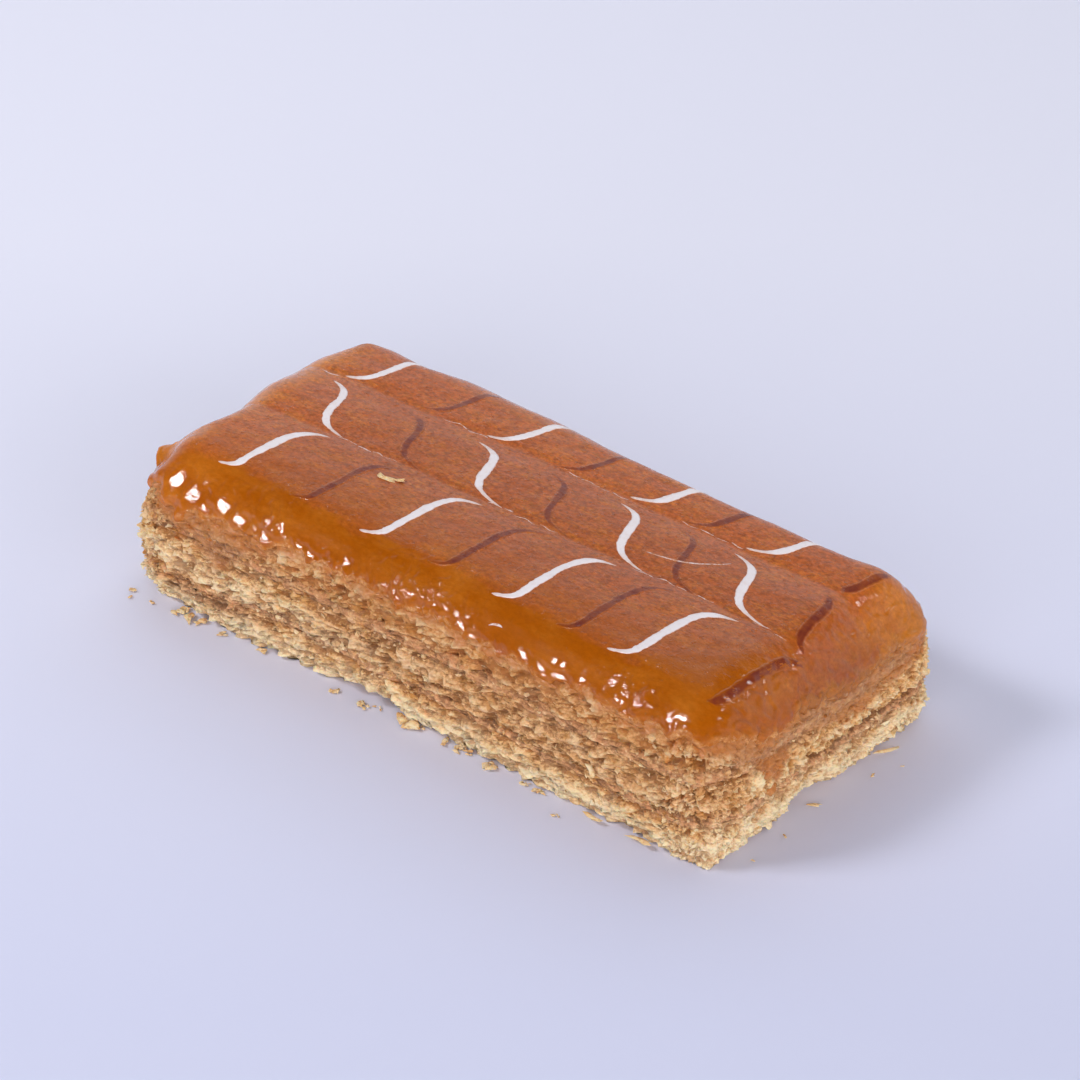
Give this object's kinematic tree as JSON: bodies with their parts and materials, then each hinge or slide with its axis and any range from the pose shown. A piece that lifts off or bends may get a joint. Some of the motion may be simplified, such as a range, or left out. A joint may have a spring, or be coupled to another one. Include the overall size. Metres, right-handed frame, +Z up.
{
  "type": "mille feuille slice",
  "caption": "Oblong iced mille feuille: flaky puff pastry sheets with thin brown fillings under a rounded caramel glaze with feathered icing.",
  "frame": {"origin": "middle of the footprint, on the surface the slice rests on", "axes": "+X along the slice, -Y towards its cut long side, +Z up"},
  "size_m": [0.1222, 0.0582, 0.0259],
  "materials": {
    "pastry": "dry flaky baked puff pastry, golden with browner flake edges",
    "pastry_pale": "dry flaky puff pastry, paler than the sheets above and below",
    "pastry_browned": "flaky puff pastry browned and partly soaked by the glaze",
    "filling": "brown soft filling, slightly moist",
    "glaze": "wet-looking caramel glaze, amber where thin",
    "icing_white": "smooth white sugar icing",
    "icing_brown": "thin brown icing, half sunk into the glaze"
  },
  "bodies": {
    "root": {"pastry_bottom": "pastry", "filling_lower": "filling", "pastry_middle": "pastry_pale", "filling_upper": "filling", "pastry_top": "pastry_browned", "glaze_cap": "glaze"}
  },
  "joints": []
}
